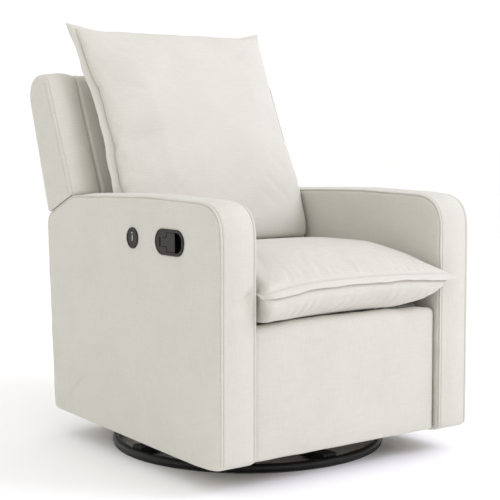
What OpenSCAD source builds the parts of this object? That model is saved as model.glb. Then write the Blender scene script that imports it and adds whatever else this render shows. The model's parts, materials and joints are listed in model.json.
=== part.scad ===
// Glider nursery chair: a swivelling, gliding, reclining armchair with a footrest.
// X is the sitter's left, -Y is the way the sitter faces, Z is up, in millimetres.
// The origin is on the floor, on the axis that the chair swivels about.

/* [Overall] */
// Width across the two arms
chair_w = 740; // [720:5:760]
// Thickness of each arm
arm_t = 92; // [88:1:94]
// Height of the upholstered body's underside
body_z = 62; // [62:1:66]
// Height of the arm top at its highest point
arm_h = 641; // [636:1:646]
// Distance from the swivel axis to the front of the arms
arm_front = 414.5; // [410:0.5:418]
// Height of the top of the upholstered back
back_h = 944; // [930:1:960]

/* [Base] */
// Outer diameter of the floor ring
ring_d = 698; // [660:1:700]
// Diameter of the ring's tube
ring_tube = 19; // [18:1:24]

/* [Glide] */
// Distance between the two pivots of a glide link
link_len = 110; // [100:1:115]
// Half the distance between the front and the rear links
link_y = 125; // [115:1:135]
// Height of the glide stand's pivots
glide_top_z = 190; // [185:1:195]
// Diameter of the glide pins
glide_pin_d = 12; // [10:1:14]

/* [Recline] */
// Distance of the recline pivot behind the swivel axis
recline_y = 290; // [286:1:294]
// Height of the recline pivot
recline_z = 395; // [392:1:398]

/* [Footrest] */
// Distance of the footrest's fixed pivot in front of the swivel axis
foot_y = 322; // [318:1:324]
// Height of the footrest's fixed pivot
foot_z = 300; // [298:1:301]
// Diameter of the footrest's pins
foot_pin_d = 10; // [8:1:11]

/* [Handle and port] */
// Length of the handle bezel
bezel_l = 120; // [116:1:124]
// Height of the handle bezel
bezel_h = 60; // [56:1:64]
// Distance of the bezel's middle in front of the swivel axis
bezel_y = 212.5; // [205:0.5:220]
// Height of the handle and of the port
control_z = 541; // [536:1:546]
// Diameter of the charging port's bezel
port_d = 50; // [46:1:54]
// Distance of the port in front of the swivel axis
port_y = 49.5; // [40:0.5:60]

/* [Hidden] */
$fn = 64;

// Colours
ivory = [0.88, 0.87, 0.84];
ivory_side = [0.80, 0.79, 0.76];
black_steel = [0.06, 0.06, 0.06];
zinc = [0.62, 0.63, 0.64];
wood = [0.76, 0.62, 0.44];
plastic = [0.26, 0.25, 0.23];

// Clearances
run = 0.08;
snug = 0.03;

// Arms
half_w = chair_w / 2;
arm_in = half_w - arm_t;
cover_t = 12;
cavity_in = arm_in + cover_t;
cavity_out = half_w - cover_t;
frame_w = 50;

// Base heights
strip_h = 3;
ring_r = (ring_d - ring_tube) / 2;
ring_z = strip_h + ring_tube / 2 - 1;
beam_w = 40;
beam_z0 = 7;
beam_z1 = 27;
hub_t = 5;
hub_z = beam_z1 + hub_t;
race_t = 7;
race_gap = 2;
race_r = 110;
race_hole_r = 50;
ball_r = 5;
ball_ring = 95;
ball_z = hub_z + race_t + race_gap / 2;
top_race_z = hub_z + race_t + race_gap;
table_z = top_race_z + race_t;
table_t = 6;
table_top = table_z + table_t;
bolt_r = 8;

// Glide stand, links and rails, outward from the middle
stand_x = 140;
stand_t = 4;
stand_foot = 28;
glide_link_x = 152;
link_t = 5;
rail_x = 160;
rail_t = 5;
glide_low_z = glide_top_z - link_len;
glide_pin_r = glide_pin_d / 2;
cross_y = 235;
cross_t = 30;
cross_z = 66;
cross_h = 40;

// Backrest, as two planes that lean back by different amounts
front_y = 263.5;
front_z = 637;
back_lean = 24.5;
rear_lean = 19.2;
rear_y = 394;
rear_z = 593;
back_half = 262;
back_bottom = 400;
pad_t = 38;
stile_t = 50;
board_t = 12;
top_pad_z = 880;

// Footrest linkage: the panel's pivot, the two link lengths and the elbow between them
panel_y = 358;
panel_z = 310;
lower_len = 165;
upper_len = 180;
pivot_gap = norm([panel_y - foot_y, panel_z - foot_z]);
along = (lower_len * lower_len - upper_len * upper_len + pivot_gap * pivot_gap) / (2 * pivot_gap);
across = sqrt(lower_len * lower_len - along * along);
gap_dir = [-(panel_y - foot_y), panel_z - foot_z] / pivot_gap;
elbow = [-foot_y, foot_z] + along * gap_dir + across * [gap_dir[1], -gap_dir[0]] * -1;
tube_at = [-298, 215];
tube_r = 9;
foot_pin_r = foot_pin_d / 2;
lower_link_x = 262;
upper_link_x = 255;
bracket_x = 247;
side_plate_x = 272;
panel_face = 401;
panel_back = 369;
panel_bottom = 62;
panel_top = 357;
panel_half = 271;

// Handle: the face plate, the pocket behind it and the lever's two widths
bezel_proud = 3;
bezel_plate = 7;
tub_t = 3;
tub_depth = 26;
lever_t = 6;
lever_gap = 1;
neck_h = 20;
paddle_h = 43;
lip_t = 1.2;
lip_run = 11;
hinge_y = -176;
neck_y = -201;
paddle_y = -235;
recess_y = -264;
hinge_x = -369.2;
hinge_r = 1.5;

// Cables inside the right arm
cable_x = -322;
cable_r = 2.5;
bend_r = 12;

// ---------------------------------------------------------------- helpers

// A solid with a side outline in (y, z), from x0 to x1
module slab(x0, x1) {
    translate([x0, 0, 0])
        rotate([90, 0, 90])
            linear_extrude(x1 - x0)
                children();
}

// A copy on each side of the chair
module both() {
    children();
    mirror([1, 0, 0])
        children();
}

// A round bar or hole along X
module bar_x(x0, x1, y, z, r) {
    translate([x0, y, z])
        rotate([0, 90, 0])
            cylinder(h = x1 - x0, r = r);
}

module block(lo, hi) {
    translate(lo)
        cube(hi - lo);
}

// A rounded outline with its flat ends on top and bottom
module stadium(l, h) {
    hull()
        for (s = [-1, 1])
            translate([s * (l - h) / 2, 0])
                circle(d = h);
}

// A shape drawn in (y, z) on the right arm's outer face, from x0 to x1
module on_right(x0, x1, y, z) {
    translate([x0, y, z])
        rotate([90, 0, 90])
            linear_extrude(x1 - x0)
                children();
}

// A strip between two depths behind the back's front plane
module lean_strip(d0, d1) {
    translate([front_y, front_z])
        rotate(-back_lean)
            translate([d0, -500])
                square([d1 - d0, 1000]);
}

// A zigzag wire's outline along Y, as a sine band
function wave(y, amp, pitch) = amp * sin(360 * y / pitch);
module zigzag(len, amp, pitch, wire) {
    step = pitch / 12;
    polygon(concat(
        [for (y = [0:step:len]) [wave(y, amp, pitch) - wire / 2, y]],
        [for (y = [0:step:len]) [wave(len - y, amp, pitch) + wire / 2, len - y]]));
}

// ---------------------------------------------------------------- base

module base_ring() {
    color(black_steel)
        rotate_extrude($fn = 128)
            intersection() {
                translate([ring_r, ring_z])
                    circle(r = ring_tube / 2);
                translate([ring_r - ring_tube, strip_h])
                    square([2 * ring_tube, 2 * ring_tube]);
            }
}

module floor_strip() {
    color(plastic)
        difference() {
            cylinder(h = strip_h, r = ring_r + 6, $fn = 128);
            translate([0, 0, -1])
                cylinder(h = strip_h + 2, r = ring_r - 6, $fn = 128);
        }
}

module ring_cutter() {
    rotate_extrude($fn = 128)
        translate([ring_r, ring_z])
            circle(r = ring_tube / 2 + snug);
}

module base_crossbeam() {
    color(black_steel)
        difference() {
            block([-ring_r + 6, -beam_w / 2, beam_z0], [ring_r - 6, beam_w / 2, beam_z1]);
            ring_cutter();
        }
}

module base_half_beams() {
    color(black_steel)
        for (s = [0, 180])
            rotate([0, 0, s])
                difference() {
                    block([-beam_w / 2, beam_w / 2, beam_z0], [beam_w / 2, ring_r - 6, beam_z1]);
                    ring_cutter();
                }
}

module hub_plate() {
    color(black_steel)
        difference() {
            translate([0, 0, beam_z1])
                cylinder(h = hub_t, r = race_r);
            translate([0, 0, beam_z1 - 1])
                cylinder(h = hub_t + 2, r = bolt_r + snug);
        }
}

// A flat ring with a ball groove, from z0 to z0 + race_t
module race(z0) {
    difference() {
        translate([0, 0, z0])
            cylinder(h = race_t, r = race_r);
        translate([0, 0, z0 - 1])
            cylinder(h = race_t + 2, r = race_hole_r);
        rotate_extrude($fn = 96)
            translate([ball_ring, ball_z])
                circle(r = ball_r + run);
    }
}

module bearing_lower_race() {
    color(zinc)
        race(hub_z);
}

module bearing_balls() {
    color(zinc)
        for (i = [0:11])
            rotate([0, 0, i * 30])
                translate([ball_ring, 0, ball_z])
                    sphere(r = ball_r, $fn = 24);
}

module swivel_bolt() {
    color(zinc) {
        translate([0, 0, beam_z1])
            cylinder(h = table_top + 0.3 - beam_z1, r = bolt_r);
        translate([0, 0, table_top + 0.3])
            cylinder(h = 7, r = 15);
    }
}

// ---------------------------------------------------------------- turntable

module bearing_upper_race() {
    color(zinc)
        race(top_race_z);
}

module turntable_plate() {
    color(black_steel)
        difference() {
            block([-stand_x - 10, -160, table_z], [stand_x + 10, 160, table_top]);
            translate([0, 0, table_z - 1])
                cylinder(h = table_t + 2, r = bolt_r + run);
            stand_bolt_places()
                translate([0, 0, table_z - 1])
                    cylinder(h = table_t + 2, r = 4 + snug);
        }
}

module stand_bolt_places() {
    for (x = [-1, 1], y = [-1, 1])
        translate([x * (stand_x - 14), y * 110, 0])
            children();
}

module glide_stands() {
    color(black_steel)
        both()
            difference() {
                union() {
                    slab(stand_x, stand_x + stand_t)
                        polygon([[-150, table_top], [150, table_top], [150, table_top + 40],
                            [link_y + 14, glide_top_z + 14], [-link_y - 14, glide_top_z + 14],
                            [-150, table_top + 40]]);
                    block([stand_x - stand_foot, -150, table_top],
                        [stand_x, 150, table_top + stand_t]);
                }
                for (s = [-1, 1]) {
                    bar_x(stand_x - 1, stand_x + stand_t + 1, s * link_y, glide_top_z,
                        glide_pin_r + snug);
                    translate([stand_x - 14, s * 110, table_top - 1])
                        cylinder(h = stand_t + 2, r = 4 + snug);
                }
            }
}

module glide_upper_pins() {
    color(zinc)
        both()
            for (s = [-1, 1]) {
                bar_x(stand_x - 4, glide_link_x + link_t + 1, s * link_y, glide_top_z, glide_pin_r);
                bar_x(glide_link_x + link_t + 0.5, glide_link_x + link_t + 5, s * link_y,
                    glide_top_z, glide_pin_r + 4);
            }
}

module stand_bolts() {
    color(zinc)
        stand_bolt_places() {
            translate([0, 0, table_z])
                cylinder(h = table_t + stand_t, r = 4);
            translate([0, 0, table_top + stand_t])
                cylinder(h = 5, r = 7, $fn = 6);
        }
}

// ---------------------------------------------------------------- glide links

// A flat steel link from the stand's pivot down to the carriage's pivot
module glide_link(y) {
    difference() {
        slab(glide_link_x, glide_link_x + link_t)
            hull() {
                translate([y, glide_top_z])
                    circle(r = glide_pin_r + 8);
                translate([y, glide_low_z])
                    circle(r = glide_pin_r + 8);
            }
        for (z = [glide_top_z, glide_low_z])
            bar_x(glide_link_x - 1, glide_link_x + link_t + 1, y, z, glide_pin_r + run);
    }
}

module front_glide_links() {
    color(zinc)
        both()
            glide_link(-link_y);
}

module rear_glide_links() {
    color(zinc)
        both()
            glide_link(link_y);
}

// ---------------------------------------------------------------- seat body

module carriage_rails() {
    color(black_steel)
        both()
            difference() {
                block([rail_x, -cross_y, cross_z], [rail_x + rail_t, cross_y, cross_z + 34]);
                for (s = [-1, 1])
                    bar_x(rail_x - 1, rail_x + rail_t + 1, s * link_y, glide_low_z,
                        glide_pin_r + snug);
            }
}

module glide_lower_pins() {
    color(zinc)
        both()
            for (s = [-1, 1]) {
                bar_x(glide_link_x - 1, rail_x + rail_t, s * link_y, glide_low_z, glide_pin_r);
                bar_x(glide_link_x - 4, glide_link_x - 0.5, s * link_y, glide_low_z,
                    glide_pin_r + 3);
            }
}

module lower_cross_rails() {
    color(wood)
        for (y = [-cross_y - cross_t, cross_y])
            block([-arm_in, y, cross_z], [arm_in, y + cross_t, cross_z + cross_h]);
}

seat_rail_z = 350;
seat_front_y = -340;
seat_rear_y = 150;

module seat_rails() {
    color(wood) {
        block([-arm_in, seat_front_y, seat_rail_z - 38], [arm_in, seat_front_y + 30, seat_rail_z]);
        block([-arm_in, seat_rear_y, seat_rail_z - 38], [arm_in, seat_rear_y + 30, seat_rail_z]);
    }
}

module seat_springs() {
    color(zinc)
        for (x = [-200:100:200])
            translate([x, seat_front_y + 12, seat_rail_z])
                linear_extrude(4)
                    zigzag(495, 20, 45, 4);
}

module seat_deck() {
    color(ivory_side)
        block([-arm_in + 6, seat_front_y, seat_rail_z + 4], [arm_in - 6, 148, 365.5]);
}

// The arm seen from the side: a rounded front shoulder, a nearly level top, a sloping rear
// part that the back's wing rests on, and a rear edge that leans back a little
shoulder_y = 114;
shoulder_z = 93;
function shoulder(t) = [
    -arm_front + shoulder_y * (1 - pow(cos(t), 2 / 3)),
    arm_h - 4 - shoulder_z * (1 - pow(sin(t), 2 / 3))];

module arm_outline() {
    polygon(concat(
        [for (t = [0:7.5:90]) shoulder(t)],
        [[-124, arm_h], [57, arm_h - 4.5], [253, 629], [377, 579], [386, 571], [388.6, 561],
            [388.6, 508], [358, body_z], [-arm_front, body_z]]));
}

module arm_cavity() {
    slab(cavity_in, cavity_out)
        offset(delta = -14)
            arm_outline();
}

module arm_cover() {
    difference() {
        slab(arm_in, half_w)
            arm_outline();
        arm_cavity();
    }
}

module left_arm_cover() {
    color(ivory)
        arm_cover();
}

module right_arm_cover() {
    color(ivory_side)
        difference() {
            mirror([1, 0, 0])
                arm_cover();
            on_right(-half_w - 1, -cavity_out + 1, -bezel_y, control_z)
                stadium(bezel_l - 10, bezel_h - 8);
            bar_x(-half_w - 1, -cavity_out + 1, -port_y, control_z, port_d / 2 - 4);
            bar_x(-cavity_in - 1, -arm_in + 1, hinge_y, cable_exit_z, cable_r + 1);
            bar_x(-cavity_in - 1, -arm_in + 1, lead_y, lead_z, cable_r + 1);
        }
}

module arm_frame() {
    x0 = cavity_in;
    x1 = cavity_in + frame_w;
    block([x0, -390, body_z + 14], [x1, 330, 117]);
    block([x0, -390, 117], [x1, -350, 545]);
    block([x0, 300, 117], [x1, 330, 545]);
    block([x0, -390, 545], [x1, 330, 568]);
}

module left_arm_frame() {
    color(wood)
        arm_frame();
}

module right_arm_frame() {
    color(wood)
        mirror([1, 0, 0])
            arm_frame();
}

module rear_rail() {
    color(wood)
        block([-arm_in, 325, 290], [arm_in, 348, 330]);
}

module rear_panel() {
    color(ivory)
        difference() {
            slab(-arm_in + 0.5, arm_in - 0.5)
                polygon([[335, body_z + 2], [353.5, body_z + 2], [376.5, 398], [358, 398]]);
            translate([inlet_x, 0, inlet_z])
                rotate([-90, 0, 0])
                    cylinder(h = 400, r = 7);
        }
}

module seat_cushion() {
    color(ivory)
        slab(-272, 272)
            hull() {
                translate([-398, 418])
                    circle(r = 51);
                translate([-230, 440])
                    circle(r = 52);
                translate([110, 440])
                    circle(r = 46);
                translate([140, 372])
                    square([8, 80]);
                translate([-380, 367])
                    square([500, 20]);
            }
}

// Hinge plates of the backrest, screwed to the arms, each with its pin
module recline_pivots() {
    color(zinc)
        both() {
            slab(side_plate_x, arm_in)
                translate([recline_y, recline_z])
                    hull()
                        for (y = [-30, 30], z = [-30, 30])
                            translate([y, z])
                                circle(r = 6);
            bar_x(back_half - 1, side_plate_x + 1, recline_y, recline_z, 6);
            bar_x(back_half - 5, back_half - 0.5, recline_y, recline_z, 10);
        }
}

module footrest_side_plates() {
    color(zinc)
        both()
            difference() {
                slab(side_plate_x, arm_in)
                    hull()
                        for (y = [-foot_y - 14, -250], z = [foot_z - 16, foot_z + 4])
                            translate([y, z])
                                circle(r = 8);
                bar_x(side_plate_x - 1, arm_in + 1, -foot_y, foot_z, foot_pin_r + snug);
            }
}

module footrest_plate_pins() {
    color(zinc)
        both() {
            bar_x(lower_link_x - 1, arm_in - 1, -foot_y, foot_z, foot_pin_r);
            bar_x(lower_link_x - 4.5, lower_link_x - 0.5, -foot_y, foot_z, foot_pin_r + 3);
        }
}

// A quarter bend of cable in the XZ plane, from +X to +Z about the origin
module bend() {
    rotate([90, 0, 0])
        rotate_extrude(angle = 90)
            translate([bend_r, 0])
                circle(r = cable_r, $fn = 24);
}

cable_exit_z = 280;

// The release cable: in from the handle, down inside the arm, and out to the latch
module release_cable() {
    tub_x = -half_w - bezel_proud + tub_depth + 4;
    color(plastic)
        translate([0, hinge_y, 0]) {
            translate([tub_x, 0, control_z])
                rotate([0, 90, 0])
                    cylinder(h = cable_x - bend_r - tub_x, r = cable_r);
            translate([cable_x - bend_r, 0, control_z - bend_r])
                bend();
            translate([cable_x, 0, cable_exit_z + bend_r])
                cylinder(h = control_z - cable_exit_z - 2 * bend_r, r = cable_r);
            translate([cable_x + bend_r, 0, cable_exit_z + bend_r])
                rotate([0, 180, 0])
                    bend();
            translate([cable_x + bend_r, 0, cable_exit_z])
                rotate([0, 90, 0])
                    cylinder(h = -latch_x - cable_x - bend_r, r = cable_r);
        }
}

latch_x = 266;

module release_latch() {
    color(zinc)
        translate([-arm_in, hinge_y - 22, cable_exit_z - 20])
            difference() {
                cube([arm_in - latch_x + 4, 44, 40]);
                translate([-1, 22, 20])
                    rotate([0, 90, 0])
                        cylinder(h = arm_in - latch_x + 1, r = cable_r + snug);
            }
}

// ---------------------------------------------------------------- handle and port

// The lever's T outline in (y, z): a narrow neck at the hinge and a wide paddle in front
module lever_outline(grow) {
    translate([neck_y - grow, -neck_h / 2 - grow])
        square([hinge_y - neck_y + grow, neck_h + 2 * grow]);
    translate([paddle_y - grow, -paddle_h / 2 - grow])
        square([neck_y - paddle_y + 2 * grow, paddle_h + 2 * grow]);
}

module recess_outline() {
    intersection() {
        translate([-bezel_y, 0])
            stadium(bezel_l - 14, bezel_h - 14);
        translate([recess_y, -bezel_h / 2])
            square([paddle_y - recess_y + 1, bezel_h]);
    }
}

module handle_bezel() {
    face = -half_w - bezel_proud;
    color(plastic)
        difference() {
            union() {
                on_right(face, -half_w, -bezel_y, control_z)
                    stadium(bezel_l, bezel_h);
                on_right(-half_w, face + tub_depth + 4, -bezel_y, control_z)
                    stadium(bezel_l - 10.4, bezel_h - 8.4);
            }
            on_right(face + bezel_plate, face + tub_depth, -bezel_y, control_z)
                stadium(bezel_l - 16, bezel_h - 14);
            on_right(face - 1, face + bezel_plate + 1, 0, control_z) {
                lever_outline(lever_gap);
                recess_outline();
                translate([hinge_y, -neck_h / 2 - lever_gap])
                    square([5, neck_h + 2 * lever_gap]);
            }
            translate([hinge_x, hinge_y, control_z - 16])
                cylinder(h = 32, r = hinge_r + snug);
        }
}

module handle_hinge_pin() {
    color(zinc)
        translate([hinge_x, hinge_y, control_z - 15.5])
            cylinder(h = 31, r = hinge_r, $fn = 32);
}

module handle_lever() {
    x0 = hinge_x - lever_t / 2;
    color(plastic)
        difference() {
            union() {
                on_right(x0, x0 + lever_t, 0, control_z)
                    lever_outline(0);
                translate([hinge_x, hinge_y, control_z - neck_h / 2])
                    cylinder(h = neck_h, r = lever_t / 2);
            }
            translate([hinge_x, hinge_y, control_z - paddle_h])
                cylinder(h = 2 * paddle_h, r = hinge_r + 0.06);
            // The paddle's free end thins to a lip that fingers hook behind
            translate([0, 0, control_z - paddle_h])
                linear_extrude(2 * paddle_h)
                    polygon([
                        [x0 + lip_t, paddle_y - 1],
                        [x0 + lip_t, paddle_y],
                        [x0 + lever_t + 1, paddle_y + lip_run],
                        [x0 + lever_t + 1, paddle_y - 1]
                    ]);
        }
}

socket_h = 14;
socket_w = 7;
socket_depth = 14;
led_z = 12;

module usb_bezel() {
    face = -half_w - bezel_proud;
    color(plastic)
        difference() {
            union() {
                bar_x(face, -half_w, -port_y, control_z, port_d / 2);
                bar_x(-half_w, -half_w + 28, -port_y, control_z, port_d / 2 - 4.2);
            }
            block([face - 1, -port_y - socket_w / 2, control_z - socket_h / 2],
                [face + socket_depth, -port_y + socket_w / 2, control_z + socket_h / 2]);
            bar_x(face - 1, face + 4, -port_y, control_z + led_z, 1.5 + snug);
        }
}

module usb_socket() {
    face = -half_w - bezel_proud;
    color(zinc)
        difference() {
            block([face + 0.4, -port_y - socket_w / 2, control_z - socket_h / 2],
                [face + socket_depth, -port_y + socket_w / 2, control_z + socket_h / 2]);
            block([face - 1, -port_y - socket_w / 2 + 0.8, control_z - socket_h / 2 + 0.8],
                [face + socket_depth - 1, -port_y + socket_w / 2 - 0.8,
                    control_z + socket_h / 2 - 0.8]);
        }
}

module usb_tongue() {
    face = -half_w - bezel_proud;
    color(ivory)
        block([face + 2, -port_y + 0.2, control_z - 5.5],
            [face + socket_depth - 1, -port_y + 2, control_z + 5.5]);
}

module usb_led() {
    face = -half_w - bezel_proud;
    color([0.25, 0.75, 0.45])
        bar_x(face - 0.3, face + 4, -port_y, control_z + led_z, 1.5);
}

lead_y = 250;
lead_z = 150;
inlet_x = -230;
inlet_z = 110;

// The port's lead: down inside the arm, back, out through the arm and to the inlet
module usb_lead() {
    port_x = -half_w + 28;
    color(plastic) {
        bar_x(port_x, cable_x - bend_r, -port_y, control_z, cable_r);
        translate([cable_x - bend_r, -port_y, control_z - bend_r])
            bend();
        translate([cable_x, -port_y, lead_z])
            cylinder(h = control_z - bend_r - lead_z, r = cable_r);
        translate([cable_x, -port_y, lead_z])
            sphere(r = cable_r, $fn = 24);
        translate([cable_x, -port_y, lead_z])
            rotate([-90, 0, 0])
                cylinder(h = lead_y + port_y, r = cable_r);
        translate([cable_x, lead_y, lead_z])
            sphere(r = cable_r, $fn = 24);
        bar_x(cable_x, inlet_x, lead_y, lead_z, cable_r);
        translate([inlet_x, lead_y, lead_z])
            sphere(r = cable_r, $fn = 24);
        translate([inlet_x, lead_y, inlet_z])
            cylinder(h = lead_z - inlet_z, r = cable_r);
        translate([inlet_x, lead_y, inlet_z])
            sphere(r = cable_r, $fn = 24);
        translate([inlet_x, lead_y, inlet_z])
            rotate([-90, 0, 0])
                cylinder(h = 325 - lead_y, r = cable_r);
    }
}

module power_inlet() {
    color(plastic)
        translate([inlet_x, 325, inlet_z])
            rotate([-90, 0, 0])
                difference() {
                    union() {
                        cylinder(h = 34, r = 6.8);
                        translate([0, 0, 32.6])
                            cylinder(h = 2, r = 9);
                    }
                    translate([0, 0, 22])
                        cylinder(h = 20, r = 3);
                }
}

// ---------------------------------------------------------------- backrest

function front_at(z) = front_y + (z - front_z) * tan(back_lean);
function rear_at(z) = rear_y + (z - rear_z) * tan(rear_lean);

// The back's side outline down to the seat
module back_outline() {
    top_rear_r = 45;
    top_front_r = 25;
    rear_c = back_h - top_rear_r;
    front_c = back_h - top_front_r;
    hull() {
        polygon([[front_at(back_bottom), back_bottom], [rear_at(back_bottom), back_bottom],
            [rear_y, rear_z]]);
        translate([rear_at(rear_c) - top_rear_r / cos(rear_lean), rear_c])
            circle(r = top_rear_r);
        translate([front_at(front_c) + top_front_r / cos(back_lean), front_c])
            circle(r = top_front_r);
    }
}

// The back seen from the front: rounded top corners
module back_front_view() {
    corner_r = 50;
    translate([0, 700, 0])
        rotate([90, 0, 0])
            linear_extrude(900)
                hull() {
                    translate([-half_w, 300])
                        square([chair_w, 100]);
                    for (s = [-1, 1])
                        translate([s * (half_w - corner_r), back_h - corner_r])
                            circle(r = corner_r);
                }
}

// What lies above the arm's sloping rear part, with a gap for the recline motion
module above_arm() {
    slope = (629 - 579) / (377 - 253);
    gap = 4.5;
    z0 = 629 + gap;
    polygon([[253 - 60, z0 + 60 * slope], [253 + 400, z0 - 400 * slope], [700, 1000],
        [193, 1000]]);
}

module back_wing() {
    intersection() {
        slab(back_half, half_w)
            intersection() {
                back_outline();
                above_arm();
            }
        back_front_view();
    }
}

module left_back_wing() {
    color(ivory)
        back_wing();
}

module right_back_wing() {
    color(ivory)
        mirror([1, 0, 0])
            back_wing();
}

module below_top_pad() {
    translate([0, back_bottom])
        square([700, top_pad_z - back_bottom]);
}

module back_front_pad() {
    color(ivory)
        slab(-back_half, back_half)
            intersection() {
                back_outline();
                lean_strip(-5, pad_t);
                below_top_pad();
            }
}

module back_top_pad() {
    color(ivory)
        slab(-back_half, back_half)
            intersection() {
                back_outline();
                translate([0, top_pad_z])
                    square([700, 200]);
            }
}

module back_rear_panel() {
    color(ivory)
        slab(-back_half, back_half)
            intersection() {
                back_outline();
                below_top_pad();
                translate([rear_y, rear_z])
                    rotate(-rear_lean)
                        translate([-board_t, -500])
                            square([board_t + 10, 1000]);
            }
}

module back_stiles() {
    color(wood)
        both()
            slab(205, back_half)
                intersection() {
                    lean_strip(pad_t, pad_t + stile_t);
                    translate([0, 410])
                        square([700, top_pad_z - 410]);
                }
}

module back_rails() {
    color(wood)
        for (z = [410, 620, 840])
            slab(-205, 205)
                intersection() {
                    lean_strip(pad_t + 14, pad_t + stile_t);
                    translate([0, z])
                        square([700, 40]);
                }
}

module back_springs() {
    color(zinc)
        for (x = [-120, 0, 120])
            translate([x, front_y, front_z])
                rotate([-back_lean, 0, 0])
                    translate([0, pad_t + 12, -230])
                        rotate([90, 0, 0])
                            linear_extrude(4)
                                zigzag(480, 20, 45, 4);
}

module recline_brackets() {
    color(zinc)
        both()
            difference() {
                slab(back_half + 0.5, back_half + 5.5)
                    hull() {
                        translate([recline_y, recline_z])
                            circle(r = 20);
                        translate([front_at(500) + 70, 500])
                            circle(r = 20);
                    }
                bar_x(back_half - 1, back_half + 7, recline_y, recline_z, 6 + run);
            }
}

// The pillow's side outline, as depth in front of the back and height along it
module pillow_outline() {
    mid = -79;
    half_t = 76;
    low = -188;
    high = 436;
    centre = (low + high) / 2;
    reach = (high - low) / 2;
    polygon(concat(
        [for (t = [-1:0.1:1]) [mid + half_t * sqrt(1 - pow(abs(t), 3)), centre + t * reach]],
        [for (t = [0.9:-0.1:-0.95])
            [mid - half_t * sqrt(1 - pow(abs(t), 3)), centre + t * reach]]));
}

// The pillow from the front: squeezed between the arms, wider above them and at its top corners
module pillow_front_view() {
    side = [[266, 480], [272, 600], [272, 650], [292, 690], [294, 740], [288, 850], [302, 1066]];
    n = len(side);
    polygon(concat(side, [for (i = [n - 1:-1:0]) [-side[i][0], side[i][1]]]));
}

module back_pillow() {
    color(ivory)
        intersection() {
            slab(-302, 302)
                translate([front_y, front_z])
                    rotate(-back_lean)
                        pillow_outline();
            translate([0, 700, 0])
                rotate([90, 0, 0])
                    linear_extrude(900)
                        pillow_front_view();
        }
}

// ---------------------------------------------------------------- footrest

module footrest_lower_links() {
    color(zinc)
        both()
            difference() {
                slab(lower_link_x, lower_link_x + link_t)
                    hull() {
                        translate([-foot_y, foot_z])
                            circle(r = foot_pin_r + 4);
                        translate(elbow)
                            circle(r = foot_pin_r + 4);
                        translate(tube_at)
                            circle(r = tube_r + 3);
                    }
                bar_x(lower_link_x - 1, lower_link_x + link_t + 1, -foot_y, foot_z,
                    foot_pin_r + run);
                bar_x(lower_link_x - 1, lower_link_x + link_t + 1, elbow[0], elbow[1],
                    foot_pin_r + snug);
            }
}

module footrest_cross_tube() {
    color(black_steel)
        difference() {
            bar_x(-lower_link_x, lower_link_x, tube_at[0], tube_at[1], tube_r);
            bar_x(-lower_link_x - 1, lower_link_x + 1, tube_at[0], tube_at[1], tube_r - 2);
        }
}

module footrest_elbow_pins() {
    color(zinc)
        both() {
            bar_x(upper_link_x - 1, lower_link_x + link_t, elbow[0], elbow[1], foot_pin_r);
            bar_x(upper_link_x - 4.5, upper_link_x - 0.5, elbow[0], elbow[1], foot_pin_r + 3);
        }
}

module footrest_upper_links() {
    color(zinc)
        both()
            difference() {
                slab(upper_link_x, upper_link_x + link_t)
                    hull() {
                        translate(elbow)
                            circle(r = foot_pin_r + 4);
                        translate([-panel_y, panel_z])
                            circle(r = foot_pin_r + 4);
                    }
                for (p = [elbow, [-panel_y, panel_z]])
                    bar_x(upper_link_x - 1, upper_link_x + link_t + 1, p[0], p[1],
                        foot_pin_r + run);
            }
}

module footrest_board() {
    color(wood)
        block([-262, -panel_back - 12, panel_bottom + 8], [262, -panel_back, 344]);
}

// The padded cover over the board's front and top edge
module footrest_pad() {
    corner = 9;
    color(ivory)
        slab(-panel_half, panel_half)
            difference() {
                hull() {
                    translate([-panel_face, panel_bottom])
                        square([panel_face - panel_back - 12, 10]);
                    translate([-panel_face + corner + 4, panel_top - corner - 4])
                        circle(r = corner + 4);
                    translate([-panel_back - corner, panel_top - corner])
                        circle(r = corner);
                    translate([-panel_back - 12, 344])
                        square([12, 2]);
                }
                translate([-panel_back - 12, panel_bottom - 1])
                    square([13, 344 - panel_bottom + 1]);
            }
}

module footrest_brackets() {
    color(zinc)
        both() {
            difference() {
                slab(bracket_x, bracket_x + link_t)
                    hull() {
                        translate([-panel_y, panel_z])
                            circle(r = foot_pin_r + 4);
                        translate([-panel_back, panel_z - 26])
                            square([1, 48]);
                    }
                bar_x(bracket_x - 1, bracket_x + link_t + 1, -panel_y, panel_z,
                    foot_pin_r + snug);
            }
            block([bracket_x - 24, -panel_back, panel_z - 30],
                [bracket_x, -panel_back + 3, panel_z + 26]);
        }
}

module footrest_panel_pins() {
    color(zinc)
        both() {
            bar_x(bracket_x, upper_link_x + link_t + 0.6, -panel_y, panel_z, foot_pin_r);
            bar_x(upper_link_x + link_t + 0.5, lower_link_x - 0.5, -panel_y, panel_z,
                foot_pin_r + 3);
        }
}

base_ring();
floor_strip();
base_crossbeam();
base_half_beams();
hub_plate();
bearing_lower_race();
bearing_balls();
swivel_bolt();
bearing_upper_race();
turntable_plate();
glide_stands();
glide_upper_pins();
stand_bolts();
front_glide_links();
rear_glide_links();
carriage_rails();
glide_lower_pins();
lower_cross_rails();
seat_rails();
seat_springs();
seat_deck();
right_arm_frame();
left_arm_frame();
right_arm_cover();
left_arm_cover();
rear_rail();
rear_panel();
seat_cushion();
recline_pivots();
footrest_side_plates();
footrest_plate_pins();
release_cable();
release_latch();
handle_bezel();
handle_hinge_pin();
usb_bezel();
usb_socket();
usb_tongue();
usb_led();
usb_lead();
power_inlet();
back_stiles();
back_rails();
back_springs();
back_front_pad();
back_top_pad();
back_rear_panel();
right_back_wing();
left_back_wing();
recline_brackets();
back_pillow();
footrest_lower_links();
footrest_cross_tube();
footrest_elbow_pins();
footrest_upper_links();
footrest_board();
footrest_pad();
footrest_brackets();
footrest_panel_pins();
handle_lever();
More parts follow.
